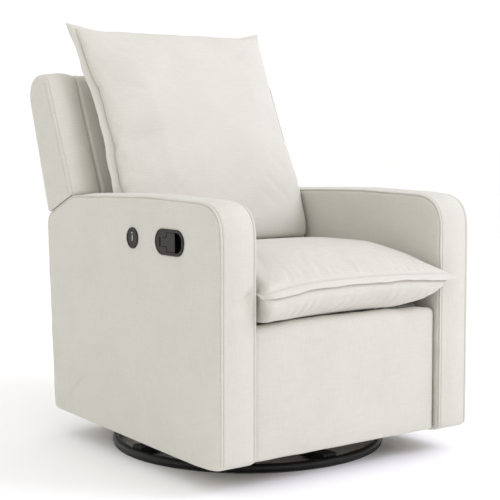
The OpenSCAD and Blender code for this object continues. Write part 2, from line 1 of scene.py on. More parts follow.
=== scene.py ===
"""Glider nursery chair: upholstery, loose cushions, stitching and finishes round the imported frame.

Lengths in this script are millimetres until new_mesh() turns them into metres. X is the sitter's left,
-Y is the way the sitter faces and Z is up, as in the frame.
"""

import json
import math

import bpy
import numpy as np
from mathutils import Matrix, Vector


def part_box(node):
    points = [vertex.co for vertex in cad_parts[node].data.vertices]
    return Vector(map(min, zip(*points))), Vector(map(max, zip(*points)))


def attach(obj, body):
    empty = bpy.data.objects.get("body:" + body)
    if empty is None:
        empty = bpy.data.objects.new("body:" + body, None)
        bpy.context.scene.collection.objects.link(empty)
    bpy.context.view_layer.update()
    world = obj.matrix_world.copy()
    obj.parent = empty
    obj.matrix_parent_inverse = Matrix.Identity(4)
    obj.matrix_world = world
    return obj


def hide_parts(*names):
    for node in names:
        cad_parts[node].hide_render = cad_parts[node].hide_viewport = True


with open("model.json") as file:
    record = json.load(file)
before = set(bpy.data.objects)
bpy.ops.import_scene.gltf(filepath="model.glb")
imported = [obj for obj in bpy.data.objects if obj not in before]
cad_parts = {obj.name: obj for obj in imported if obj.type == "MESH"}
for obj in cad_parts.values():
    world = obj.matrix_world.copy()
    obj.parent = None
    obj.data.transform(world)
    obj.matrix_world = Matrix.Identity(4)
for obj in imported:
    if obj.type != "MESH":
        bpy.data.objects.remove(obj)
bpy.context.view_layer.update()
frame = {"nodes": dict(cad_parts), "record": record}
MM = 0.001
SHARP_ANGLE = math.radians(60)


# -------- sizes read from the frame

def node_box(name):
    """A CAD node's lowest and highest corners, in millimetres."""
    low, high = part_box(name)
    return np.array(low) / MM, np.array(high) / MM


def middle_and_size(box):
    """The middle and the size of a box given by its corners."""
    low, high = box
    return (low + high) / 2, high - low


arm_low, arm_high = node_box("left_arm_cover")
ARM_IN, ARM_OUT = arm_low[0], arm_high[0]
ARM_FRONT, ARM_TOP, BODY_Z = -arm_low[1], arm_high[2], arm_low[2]
BACK_TOP = node_box("back_top_pad")[1][2]

# The back's front plane and rear plane, each through a point and leaning back by an angle
FRONT_AT, FRONT_LEAN = (263.5, 637.0), math.radians(24.5)
REAR_AT, REAR_LEAN = (394.0, 593.0), math.radians(19.2)


# -------- mesh helpers

def new_object(name, data):
    obj = bpy.data.objects.new(name, data)
    bpy.context.scene.collection.objects.link(obj)
    return obj


def new_mesh(name, points, faces):
    """A smooth-shaded object from points in millimetres and faces."""
    mesh = bpy.data.meshes.new(name)
    mesh.from_pydata((np.asarray(points, float) * MM).tolist(), [], faces)
    mesh.polygons.foreach_set("use_smooth", [True] * len(mesh.polygons))
    mesh.update()
    return new_object(name, mesh)


def numbered(rows, count, first=0):
    """Rings of vertex numbers, for rows of equally many vertices from a first one on."""
    return [list(range(first + i * count, first + (i + 1) * count)) for i in range(rows)]


def sides(ring):
    """Each pair of neighbours round a closed ring of vertex numbers."""
    return list(zip(ring, ring[1:] + ring[:1]))


def bands(rings):
    """Quads between each ring of vertex numbers and the next."""
    return [(a, b, d, c) for ring, after in zip(rings, rings[1:])
            for (a, b), (c, d) in zip(sides(ring), sides(after))]


def skin(name, loops, flip=False):
    """A closed skin through loops of equally many points, with a fan of faces at both ends."""
    loops = np.asarray(loops, float)
    rows, count, _ = loops.shape
    rings = numbered(rows, count)
    faces = bands(rings)
    first, last = rows * count, rows * count + 1
    for (a, b), (c, d) in zip(sides(rings[0]), sides(rings[-1])):
        faces += [(first, b, a), (last, c, d)]
    if flip:
        faces = [f[::-1] for f in faces]
    points = np.vstack([loops.reshape(-1, 3), loops[0].mean(0), loops[-1].mean(0)])
    obj = new_mesh(name, points, faces)
    obj.data.set_sharp_from_angle(angle=SHARP_ANGLE)
    return obj


def at_x(x, outline):
    """A (y, z) outline placed at one x."""
    return np.column_stack([np.full(len(outline), x), outline])


def shrunk(rim, middle, shares):
    """Copies of a rim, drawn in towards a (y, z) middle."""
    rings = []
    for share in shares:
        ring = rim.copy()
        ring[:, 1:] = middle + (rim[:, 1:] - middle) * share
        rings.append(ring)
    return rings


def freeze(obj):
    """Turns an object's modifiers into plain mesh."""
    depsgraph = bpy.context.evaluated_depsgraph_get()
    mesh = bpy.data.meshes.new_from_object(obj.evaluated_get(depsgraph))
    old = obj.data
    obj.modifiers.clear()
    obj.data = mesh
    bpy.data.meshes.remove(old)


def cut(obj, cutters):
    """Cuts closed shapes out of an object and removes them."""
    for cutter in cutters:
        modifier = obj.modifiers.new("cut", "BOOLEAN")
        modifier.object = cutter
        modifier.operation = "DIFFERENCE"
        modifier.solver = "EXACT"
    freeze(obj)
    for cutter in cutters:
        bpy.data.objects.remove(cutter)
    obj.data.set_sharp_from_angle(angle=SHARP_ANGLE)


def step01(value, low, high):
    """A smooth step from 0 at low to 1 at high."""
    t = np.clip((np.asarray(value, float) - low) / (high - low), 0, 1)
    return t * t * (3 - 2 * t)


def ripple(points, size, seed):
    """Smooth noise between about -1 and 1, with features about size across."""
    random = np.random.default_rng(seed)
    points = np.asarray(points, float)
    total = 0
    for _ in range(7):
        direction = random.normal(size=points.shape[-1])
        direction *= random.uniform(0.6, 1.7) * 2 * math.pi / size / np.linalg.norm(direction)
        total = total + np.sin(points @ direction + random.uniform(0, 2 * math.pi))
    return total / 3.2


def ripple_along(run, size, seed):
    """The same noise along one direction."""
    return ripple(np.column_stack([run, 0 * run]), size, seed)


def length_along(points):
    """The length of an open line up to each of its points."""
    return np.concatenate([[0], np.cumsum(np.linalg.norm(np.diff(points, axis=0), axis=1))])


def sampled(at, run, rows):
    """Rows of numbers at some places along their run."""
    return np.stack([np.interp(at, run, column) for column in rows.T], -1)


def resample(points, count):
    """Points at equal steps round a closed outline, whose first two columns are its places."""
    closed = np.vstack([points, points[:1]])
    run = length_along(closed[:, :2])
    return sampled(np.linspace(0, run[-1], count, endpoint=False), run, closed)


def soften(points, reach):
    """Rounds a closed outline's corners by averaging over a few points each way."""
    weights = np.exp(-0.5 * (np.arange(-3 * reach, 3 * reach + 1) / reach) ** 2)
    weights /= weights.sum()
    return sum(w * np.roll(points, k, axis=0)
               for w, k in zip(weights, range(-3 * reach, 3 * reach + 1)))


def outward(points):
    """Unit normals of a closed (y, z) outline that runs up the front and back over the top."""
    ahead = np.roll(points, -1, axis=0) - np.roll(points, 1, axis=0)
    ahead /= np.linalg.norm(ahead, axis=1)[:, None]
    return np.stack([-ahead[:, 1], ahead[:, 0]], 1)


def curve_through(pairs, at):
    """A smooth curve's value at some places, through (place, value) pairs."""
    x, y = np.array(pairs, float).T
    slope = np.gradient(y, x)
    at = np.clip(at, x[0], x[-1])
    i = np.clip(np.searchsorted(x, at, side="right") - 1, 0, len(x) - 2)
    h = x[i + 1] - x[i]
    t = (at - x[i]) / h
    return ((1 + 2 * t) * (1 - t) ** 2 * y[i] + t * (1 - t) ** 2 * h * slope[i]
            + t * t * (3 - 2 * t) * y[i + 1] + t * t * (t - 1) * h * slope[i + 1])


def stitches(name, paths, length=5.0, gap=2.2, width=1.1, height=0.55):
    """Thread stitches along open paths, each given by its points and their outward normals."""
    points, faces = [], []
    for path, normals in paths:
        run = length_along(path)
        for start in np.arange(0, run[-1] - length, length + gap):
            ends = [sampled(start + part * length, run, path) for part in (0, 0.5, 1)]
            normal = sampled(start + length / 2, run, normals)
            normal /= np.linalg.norm(normal)
            ahead = ends[2] - ends[0]
            ahead /= np.linalg.norm(ahead)
            side = np.cross(normal, ahead)
            base = len(points)
            points += [ends[0] - normal * 0.3, ends[1] + side * width / 2, ends[1] + normal * height,
                       ends[1] - side * width / 2, ends[2] - normal * 0.3, ends[1] - normal * 0.4]
            faces += [(base + a, base + b, base + c) for a, b, c in
                      ((0, 1, 2), (0, 2, 3), (4, 2, 1), (4, 3, 2), (0, 5, 1), (0, 3, 5),
                       (4, 1, 5), (4, 5, 3))]
    return new_mesh(name, points, faces)


def arc(centre, radius, start, end, steps):
    """Points on an arc, from one angle to another."""
    turn = np.linspace(start, end, steps)
    return np.asarray(centre) + radius * np.stack([np.cos(turn), np.sin(turn)], 1)


def stadium(length, height, steps=24):
    """A stadium outline about the origin, flat sides level."""
    r = height / 2
    right = arc((length / 2 - r, 0), r, -math.pi / 2, math.pi / 2, steps)
    return np.vstack([right, -right])


# -------- camera, light and floor

def add_camera():
    camera = bpy.data.cameras.new("camera")
    camera.sensor_width = 36
    camera.lens = 88.24
    camera.shift_y = -0.05
    obj = new_object("camera", camera)
    obj.location = (-1.8412, -2.5420, 0.7724)
    obj.rotation_euler = (math.radians(90 - 3.994), 0, math.radians(-36.02))
    bpy.context.scene.camera = obj


def add_area(name, at, toward, size, power, color=(1, 1, 1)):
    light = bpy.data.lights.new(name, "AREA")
    light.shape = "DISK"
    light.size = size
    light.energy = power
    light.color = color
    obj = new_object(name, light)
    obj.location = at
    obj.rotation_euler = (Vector(toward) - Vector(at)).to_track_quat("-Z", "Y").to_euler()


def add_studio():
    scene = bpy.context.scene
    scene.view_settings.view_transform = "Standard"
    world = bpy.data.worlds.new("studio")
    world.use_nodes = True
    background = world.node_tree.nodes["Background"]
    background.inputs["Color"].default_value = (1.0, 1.0, 1.0, 1)
    background.inputs["Strength"].default_value = 1.03
    scene.world = world
    middle = (0, 0, 0.5)
    add_area("key", (2.3, -2.9, 3.0), middle, 2.2, 80, (0.80, 0.80, 1.0))
    add_area("front", (-1.4, -3.8, 1.7), middle, 2.4, 8)


def add_floor():
    """A wide pale floor."""
    half = 40000.0
    corners = [(-half, -half, 0), (half, -half, 0), (half, half, 0), (-half, half, 0)]
    floor = new_mesh("studio_floor", corners, [(0, 1, 2, 3)])
    floor.data.materials.append(flat_finish("floor_paper", (0.985, 0.98, 0.975), 0.9))


# -------- materials

def start_material(name, roughness):
    material = bpy.data.materials.new(name)
    material.use_nodes = True
    tree = material.node_tree
    shader = tree.nodes["Principled BSDF"]
    shader.inputs["Roughness"].default_value = roughness
    return material, tree, shader


def add_node(tree, kind, inputs=None, **settings):
    """A node with its inputs set to values or linked to other nodes' outputs."""
    node = tree.nodes.new(kind)
    for key, value in settings.items():
        setattr(node, key, value)
    for key, value in (inputs or {}).items():
        if isinstance(value, bpy.types.NodeSocket):
            tree.links.new(value, node.inputs[key])
        else:
            node.inputs[key].default_value = value
    return node


def maths(tree, operation, a, b=0.0):
    return add_node(tree, "ShaderNodeMath", {0: a, 1: b}, operation=operation).outputs[0]


def noise(tree, where, scale, detail=3.0, roughness=0.55):
    return add_node(tree, "ShaderNodeTexNoise", {"Vector": where, "Scale": scale, "Detail": detail,
                                                 "Roughness": roughness}).outputs["Fac"]


def place(tree):
    return add_node(tree, "ShaderNodeTexCoord").outputs["Object"]


def scaled(tree, where, *scale):
    return add_node(tree, "ShaderNodeMapping", {"Vector": where, "Scale": scale}).outputs["Vector"]


def weighted(tree, *terms):
    """The sum of the products of some pairs."""
    products = [maths(tree, "MULTIPLY", a, b) for a, b in terms]
    total = products[0]
    for product in products[1:]:
        total = maths(tree, "ADD", total, product)
    return total


def paint(tree, shader, factor, dark, light):
    """Colours a shader from dark to light by a factor."""
    mix = add_node(tree, "ShaderNodeMix", data_type="RGBA")
    tree.links.new(factor, mix.inputs[0])
    mix.inputs[6].default_value = (*dark, 1)
    mix.inputs[7].default_value = (*light, 1)
    tree.links.new(mix.outputs[2], shader.inputs["Base Color"])


def bump(tree, height, distance, strength=1.0, under=None):
    inputs = {"Height": height, "Distance": distance, "Strength": strength}
    if under is not None:
        inputs["Normal"] = under
    return add_node(tree, "ShaderNodeBump", inputs).outputs["Normal"]


def weave_height(tree, where, pitch):
    """A plain weave on whichever of the three planes the surface faces."""
    split = add_node(tree, "ShaderNodeSeparateXYZ", {0: where})
    waves = [maths(tree, "SINE", maths(tree, "MULTIPLY", split.outputs[k], 2 * math.pi / pitch))
             for k in range(3)]
    facing = add_node(tree, "ShaderNodeTexCoord").outputs["Normal"]
    facings = add_node(tree, "ShaderNodeSeparateXYZ", {0: facing})
    terms = []
    for k in range(3):
        weight = maths(tree, "POWER", maths(tree, "ABSOLUTE", facings.outputs[k]), 4.0)
        terms.append((weight, maths(tree, "MULTIPLY", waves[(k + 1) % 3], waves[(k + 2) % 3])))
    return weighted(tree, *terms)


def fabric(name, dark, light, pitch=0.0014, sheen=0.35):
    """A close, slightly slubbed upholstery weave."""
    material, tree, shader = start_material(name, 0.88)
    where = place(tree)
    cloud = noise(tree, where, 9.0, 3.0, 0.5)
    warp = noise(tree, scaled(tree, where, 1.0, 1.0, 0.07), 480.0, 2.0)
    weft = noise(tree, scaled(tree, where, 0.07, 0.07, 1.0), 480.0, 2.0)
    tone = weighted(tree, (cloud, 0.3), (warp, 0.35), (weft, 0.35))
    tone = add_node(tree, "ShaderNodeMapRange", {"Value": tone, "From Min": 0.34, "From Max": 0.66})
    paint(tree, shader, tone.outputs["Result"], dark, light)
    soft = bump(tree, noise(tree, where, 13.0, 2.0), 0.002, 0.22)
    thread = weighted(tree, (weave_height(tree, where, pitch), 0.5), (noise(tree, where, 900.0, 2.0), 1.0))
    tree.links.new(bump(tree, thread, 0.0004, 0.6, soft), shader.inputs["Normal"])
    shader.inputs["Sheen Weight"].default_value = sheen
    shader.inputs["Sheen Roughness"].default_value = 0.45
    shader.inputs["Sheen Tint"].default_value = (1.0, 0.985, 0.955, 1)
    shader.inputs["Specular IOR Level"].default_value = 0.22
    return material


def shaded(color, share):
    return tuple(share * c for c in color)


def flat_finish(name, color, roughness):
    """A plain paper or paint with a faint mottle."""
    material, tree, shader = start_material(name, roughness)
    tone = noise(tree, place(tree), 3.0)
    paint(tree, shader, tone, shaded(color, 0.985), color)
    return material


def mottled(name, dark, light, roughness, patches, spread, grain, stretch=1.0):
    """A finish that varies in patches, with a fine grain in its surface.

    patches is (scale, detail), spread the roughness of its dark and light patches, and grain
    (scale, detail, depth, strength); stretch below 1 draws the grain out along Y.
    """
    material, tree, shader = start_material(name, roughness)
    where = place(tree)
    tone = noise(tree, where, *patches)
    paint(tree, shader, tone, dark, light)
    rough = add_node(tree, "ShaderNodeMapRange", {"Value": tone, "To Min": roughness + spread[0],
                                                  "To Max": roughness + spread[1]})
    tree.links.new(rough.outputs["Result"], shader.inputs["Roughness"])
    scale, detail, depth, strength = grain
    fine = noise(tree, scaled(tree, where, 1.0, stretch, 1.0), scale, detail)
    tree.links.new(bump(tree, fine, depth, strength), shader.inputs["Normal"])
    return material, shader


def powder_coat(name, color):
    """Black powder-coated steel, with a fine orange-peel skin and dust in patches."""
    dusty = tuple(c + 0.006 for c in color)
    material, shader = mottled(name, color, dusty, 0.45, (9.0, 5.0), (-0.11, 0.07),
                               (1400.0, 1.0, 0.0002, 0.35))
    shader.inputs["Specular IOR Level"].default_value = 0.3
    return material


def moulded_plastic(name, color, roughness):
    """Moulded plastic with a fine spark-eroded grain."""
    material, shader = mottled(name, shaded(color, 0.86), color, roughness, (60.0, 3.0), (-0.06, 0.06),
                               (2600.0, 1.0, 0.0001, 0.5))
    shader.inputs["Specular IOR Level"].default_value = 0.4
    return material


def metal(name, color, roughness, scratch_scale=220.0):
    """Plated steel with faint drawn scratches and duller patches."""
    material, shader = mottled(name, shaded(color, 0.82), color, roughness, (12.0, 4.0), (-0.1, 0.14),
                               (scratch_scale, 3.0, 0.0001, 0.3), 0.08)
    shader.inputs["Metallic"].default_value = 1.0
    return material


def wood(name, dark, light):
    """Sawn pine or ply, with grain drawn out along X."""
    material, tree, shader = start_material(name, 0.62)
    where = scaled(tree, place(tree), 0.12, 1.0, 1.0)
    grain = noise(tree, where, 90.0, 5.0, 0.62)
    rings = add_node(tree, "ShaderNodeTexWave", {"Vector": where, "Scale": 12.0, "Distortion": 7.0,
                                                 "Detail": 3.0}).outputs["Fac"]
    tone = weighted(tree, (grain, 0.6), (rings, 0.4))
    paint(tree, shader, tone, dark, light)
    tree.links.new(bump(tree, tone, 0.0006, 0.4), shader.inputs["Normal"])
    return material


def glowing_lens(name, color):
    material, tree, shader = start_material(name, 0.25)
    paint(tree, shader, noise(tree, place(tree), 900.0), color, (0.75, 0.95, 0.82))
    shader.inputs["Emission Color"].default_value = (0.2, 0.8, 0.42, 1)
    shader.inputs["Emission Strength"].default_value = 0.35
    return material


THREAD = moulded_plastic("ivory_thread", (0.66, 0.64, 0.59), 0.8)
FINISHES = {
    "upholstery": fabric("ivory_upholstery", (0.575, 0.552, 0.490), (0.642, 0.618, 0.556)),
    "deck_cloth": fabric("deck_cloth", (0.42, 0.41, 0.38), (0.52, 0.51, 0.48), 0.0022, 0.15),
    "black_steel": powder_coat("black_powder_coat", (0.006, 0.006, 0.006)),
    "zinc_steel": metal("zinc_plated_steel", (0.62, 0.62, 0.60), 0.38),
    "frame_wood": wood("frame_timber", (0.42, 0.27, 0.14), (0.66, 0.48, 0.29)),
    "dark_plastic": moulded_plastic("dark_moulded_plastic", (0.021, 0.0170, 0.0145), 0.55),
    "strip_rubber": moulded_plastic("floor_strip_rubber", (0.030, 0.029, 0.028), 0.78),
    "cable_jacket": moulded_plastic("cable_jacket", (0.035, 0.035, 0.036), 0.6),
    "socket_steel": metal("socket_steel", (0.74, 0.73, 0.70), 0.24, 900.0),
    "port_tongue": moulded_plastic("port_tongue_plastic", (0.62, 0.61, 0.58), 0.4),
    "led_lens": glowing_lens("led_lens", (0.25, 0.72, 0.42)),
}


def finish_cad_nodes():
    """Gives every CAD node the finish of its slot in the record."""
    for part in frame["record"]["subparts"]:
        obj = frame["nodes"][part["node"]]
        obj.data.materials.clear()
        obj.data.materials.append(FINISHES[part["material_slot"]])


def soft_edges(names, width):
    """Breaks the edges of hard CAD nodes with a small bevel."""
    for name in names:
        modifier = frame["nodes"][name].modifiers.new("soft_edges", "BEVEL")
        modifier.width = width * MM
        modifier.segments = 2
        modifier.limit_method = "ANGLE"
        modifier.angle_limit = math.radians(50)


def dress(obj, body, slot, material=None):
    """Gives a piece the finish of its slot and the body it rides on."""
    obj.data.materials.clear()
    obj.data.materials.append(material or FINISHES[slot])
    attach(obj, body)


def upholstery(obj, body, nodes, slot="upholstery"):
    """Finishes a padded piece that stands for CAD nodes."""
    dress(obj, body, slot)
    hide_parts(*nodes)


# -------- arms

# Half of the arm's section, from the side panel over the welted edge to the middle of the boxing:
# depth in from the side plane, and height outward from the arm's outline
ARM_EDGE = np.array([
    (-1.8, -48), (-1.8, -30), (-1.8, -20), (-1.7, -12), (-1.3, -7.5), (-0.5, -5.4), (0.6, -4.4),
    (2.2, -3.8), (0.8, -2.8), (-0.2, -1.8), (-0.5, -0.7), (-0.1, 0.4), (0.9, 1.1), (2.4, 1.2),
    (3.8, 0.7), (4.8, -0.3), (5.5, -1.8), (6.3, -0.2), (7.4, 0.9), (9.2, 1.5), (12.0, 2.0),
    (15.0, 2.4), (18.0, 2.9), (20.5, 3.35), (23.0, 3.8), (26.5, 4.4), (30.0, 4.9), (34.0, 5.35),
    (38.0, 5.7), (42.0, 5.9), (46.0, 6.0)])
TOPSTITCH_IN, TOPSTITCH_OUT = 9.2, 1.3
SHOULDER_Y, SHOULDER_Z = 114.0, 93.0
PANEL_MIDDLE = np.array([-13.0, 350.0])
PANEL_SHARES = (0.86, 0.72, 0.58, 0.44, 0.3, 0.16, 0.06)
BEZEL = node_box("handle_bezel")
PORT = node_box("usb_bezel")


def arm_outline():
    """The arm from the side: rounded front shoulder, level top, sloping rear part."""
    crown = ARM_TOP - 4
    points = [(-ARM_FRONT + SHOULDER_Y * (1 - math.cos(t) ** (2 / 3)),
               crown - SHOULDER_Z * (1 - math.sin(t) ** (2 / 3)))
              for t in np.radians(np.arange(0, 90, 5))]
    points += [(-ARM_FRONT + SHOULDER_Y, crown), (-124, ARM_TOP), (57, ARM_TOP - 4.5), (253, 629),
               (377, 579), (386, 571), (388.6, 561), (388.6, 508), (358, BODY_Z), (200, BODY_Z - 3),
               (0, BODY_Z - 7), (-200, BODY_Z - 11), (-310, BODY_Z - 12.5), (-360, BODY_Z - 11),
               (-392, BODY_Z - 7), (-ARM_FRONT, BODY_Z + 1)]
    return soften(resample(np.array(points), 560), 2)


def mirrored(inner):
    """The whole section from its inner half."""
    outer = inner[-2::-1].copy()
    outer[:, 0] = (ARM_OUT - ARM_IN) - outer[:, 0]
    return np.vstack([inner, outer])


def arm_crown(outline, normals):
    """How much of the crown each outline point has: less at the rear, none under the arm."""
    rear = 1 - 0.75 * step01(outline[:, 0], 200, 262)
    below = 1 - step01(-normals[:, 1], 0.4, 0.8)
    return rear * below


def on_arm(outline, normals, crown, side, depth, height, plain):
    """Points at one depth and height of the section, all round the arm; plain is its unwelted form."""
    lift = height * crown if height > 0 else np.full(len(outline), float(height))
    under = step01(-normals[:, 1], 0.3, 0.85)
    shifted = outline + normals * (lift + (plain[1] - lift) * under)[:, None]
    x = side * (ARM_IN + depth + (plain[0] - depth) * under)
    return np.column_stack([x, shifted])


def plain_profile():
    """The section without welts: flat sides, rounded edges and a flat underside."""
    radius = 9.0
    run = length_along(ARM_EDGE)
    first = np.nonzero(ARM_EDGE[:, 1] < -radius)[0][-1]
    last = np.nonzero(ARM_EDGE[:, 0] > radius)[0][0]
    turn = np.clip((run - run[first]) / (run[last] - run[first]), 0, 1) * math.pi / 2
    depth = radius - (radius - ARM_EDGE[0, 0]) * np.cos(turn)
    height = -radius + radius * np.sin(turn)
    depth[last:] = ARM_EDGE[last:, 0]
    height[:first] = ARM_EDGE[:first, 1]
    return mirrored(np.column_stack([depth, height]))


def near_trim(points):
    """1 at the handle and port trim, 0 well away from them."""
    best = np.zeros(len(points))
    for box in (BEZEL, PORT):
        middle, size = middle_and_size(box)
        reach = np.maximum(np.abs(points[:, 1:] - middle[1:]) - size[1:] / 2, 0)
        best = np.maximum(best, 1 - step01(np.linalg.norm(reach, axis=1), 4, 34))
    return best


# A soft pucker on the right arm's front, where the cushion's corner pulls at the cover: its top, its
# depth and how far it reaches away from the inner seam for each millimetre down
PUCKER_TOP, PUCKER_DEPTH, PUCKER_SPREAD = 460.0, 15.0, 0.85


def pucker(points):
    """How far the pucker sinks each point into the arm's front."""
    beside = np.clip(-points[:, 0] - ARM_IN - TOPSTITCH_IN - 1, 0, None)
    below = PUCKER_TOP - points[:, 2]
    reach = PUCKER_SPREAD * np.clip(below, 0, None)
    depth = PUCKER_DEPTH * step01(below, 0, 26) * (1 - step01(below, 26, 74))
    hollow = (1 - np.exp(-beside / 10)) * (1 - step01(beside, reach - 9, reach + 9))
    return depth * hollow * (points[:, 1] < -ARM_FRONT + 12)


def arm(name, side):
    outline = arm_outline()
    normals = outward(outline)
    crown = arm_crown(outline, normals)
    loops = [on_arm(outline, normals, crown, side, depth, height, plain)
             for (depth, height), plain in zip(mirrored(ARM_EDGE), plain_profile())]
    panels = [shrunk(rim, PANEL_MIDDLE, PANEL_SHARES) for rim in (loops[0], loops[-1])]
    loops = np.array(panels[0][::-1] + loops + panels[1])
    flat = loops.reshape(-1, 3)
    outer = side * flat[:, 0] > (ARM_IN + ARM_OUT) / 2
    puff = 0.9 * ripple(flat[:, 1:], 150, 3 if side < 0 else 5) + 0.5 * ripple(flat, 60, 8)
    if side < 0:
        puff = puff * (1 - near_trim(flat)) + 1.4 * near_trim(flat) * outer
    depth_share = np.minimum(side * flat[:, 0] - ARM_IN, ARM_OUT - side * flat[:, 0])
    panel = 1 - step01(depth_share, -1.4, 0.6)
    flat[:, 0] += np.where(outer, -side, side) * puff * panel
    if side < 0:
        flat[:, 1] += pucker(flat)
    obj = skin(name, loops, flip=side < 0)
    stitch_paths = []
    for depth in (TOPSTITCH_IN, ARM_OUT - ARM_IN - TOPSTITCH_IN):
        path = on_arm(outline, normals, crown, side, depth, TOPSTITCH_OUT, (depth, 0))
        keep = normals[:, 1] > -0.5
        start = int(np.argmax(keep & ~np.roll(keep, 1)))
        order = [k for k in np.roll(np.arange(len(path)), -start) if keep[k]]
        stitch_paths.append((path[order], at_x(0, normals)[order]))
    dress(stitches(name + "_topstitch", stitch_paths), "chassis", "upholstery", THREAD)
    return obj


def trim_holes():
    """The openings behind the handle bezel and the port, as closed cutting shapes."""
    shapes = []
    for name, box, less in (("handle_hole", BEZEL, (10, 8)), ("port_hole", PORT, (8, 8))):
        middle, size = middle_and_size(box)
        ring = stadium(*(size[1:] - less)) + middle[1:]
        shapes.append(skin(name, [at_x(x, ring) for x in (-ARM_OUT - 12, -ARM_OUT + 34)]))
    return shapes


def add_arms():
    right = arm("right_arm_upholstery", -1)
    cut(right, trim_holes())
    upholstery(right, "chassis", ["right_arm_cover"])
    left = arm("left_arm_upholstery", 1)
    upholstery(left, "chassis", ["left_arm_cover"])


# -------- back shell

TOP_REAR_R, TOP_FRONT_R, TOP_CORNER_R = 45.0, 25.0, 16.0
FRONT_STEPS, REAR_STEPS = 12, 16
# The line just above the arm's sloping rear part, through a point and falling to the rear
GAP_FROM, GAP_SLOPE = (253.0, 633.5), 50 / 124


def front_at(z):
    return FRONT_AT[0] + (z - FRONT_AT[1]) * math.tan(FRONT_LEAN)


def rear_at(z):
    return REAR_AT[0] + (z - REAR_AT[1]) * math.tan(REAR_LEAN)


def on_slope(start, lean):
    """Where a leaning plane meets the line just above the arm's sloping rear part."""
    y0, z0 = start
    tilt = math.tan(lean)
    z = (GAP_FROM[1] + GAP_SLOPE * (GAP_FROM[0] - y0 + z0 * tilt)) / (1 + GAP_SLOPE * tilt)
    return y0 + (z - z0) * tilt, z


def back_loop(top, bottom_z=None):
    """The back's side outline, with weights for its front, top and rear stretches."""
    rear_c = np.array([rear_at(top - TOP_REAR_R) - TOP_REAR_R / math.cos(REAR_LEAN), top - TOP_REAR_R])
    front_c = np.array([front_at(top - TOP_FRONT_R) + TOP_FRONT_R / math.cos(FRONT_LEAN),
                        top - TOP_FRONT_R])
    front_arc = arc(front_c, TOP_FRONT_R, math.pi - FRONT_LEAN, math.pi / 2, FRONT_STEPS)
    rear_arc = arc(rear_c, TOP_REAR_R, math.pi / 2, -REAR_LEAN, REAR_STEPS)
    if bottom_z is None:
        front_foot, rear_foot = on_slope(FRONT_AT, FRONT_LEAN), on_slope(REAR_AT, REAR_LEAN)
    else:
        front_foot, rear_foot = (front_at(bottom_z), bottom_z), (rear_at(bottom_z), bottom_z)
    front = np.linspace(front_foot, front_arc[0], 40)[:-1]
    crown = np.linspace(front_arc[-1], rear_arc[0], 10)[1:-1]
    rear = np.linspace(rear_arc[-1], rear_foot, 40)[1:]
    foot = np.linspace(rear_foot, front_foot, 18)[1:-1]
    points = np.vstack([front, front_arc, crown, rear_arc, rear, foot])
    rise = step01(np.linspace(0, 1, FRONT_STEPS), 0, 1)
    fall = 1 - step01(np.linspace(0, 1, REAR_STEPS), 0, 1)
    lift = np.concatenate([np.zeros(len(front)), rise, np.ones(len(crown)), fall,
                           np.zeros(len(rear) + len(foot))])
    weights = np.column_stack([1 - lift, lift, 1 - lift])
    top_end = len(front) + FRONT_STEPS + len(crown)
    weights[top_end:, 0] = 0
    weights[:top_end, 2] = 0
    weights[-len(foot):] = 0
    return points, weights


# Offsets outward across a wing: (distance from the middle plane, offset)
WING_FRONT = [(262, 0), (271, 0.4), (275, -1.5), (277, -4.5), (278, -6.2), (279.2, -4.2), (282, 0.2),
              (288, 4.0), (298, 8.0), (312, 11.0), (327, 11.8), (342, 9.8), (352, 7.0), (359, 4.2),
              (362.8, 2.4), (364.2, 0.0), (365.6, 1.6), (367.2, 1.0), (368.9, -1.2), (370, -3.8)]
WING_TOP = [(262, 0), (271, 0), (275, -1.4), (277, -3.4), (278, -4.4), (279.2, -3.0), (283, -0.5),
            (292, 2.0), (310, 4.2), (330, 4.0), (345, 2.0), (358, 0.8), (370, 0)]
WING_REAR = [(262, -1.6), (264, -0.4), (268, 0.8), (290, 3.0), (316, 4.0), (340, 3.2), (356, 1.6),
             (362, 0.2), (366, -1.2), (370, -5.0)]
WING_STATIONS = [262, 264, 268, 272, 275, 276.6, 278, 279.4, 281.5, 285, 290, 297, 305, 314, 324, 334,
                 343, 350, 355, 359, 361.4, 362.8, 364.2, 365.6, 367.2, 368.4, 369.3, 370]


def even_loop(points, weights, count, reach):
    """The back's outline at equal steps with its corners eased, and its weights with it."""
    both = soften(resample(np.column_stack([points, weights]), count), reach)
    return both[:, :2], both[:, 2:]


def blended(weights, values):
    """The sum of the front, top and rear values, each by its weight."""
    return sum(weights[:, k] * value for k, value in enumerate(values))


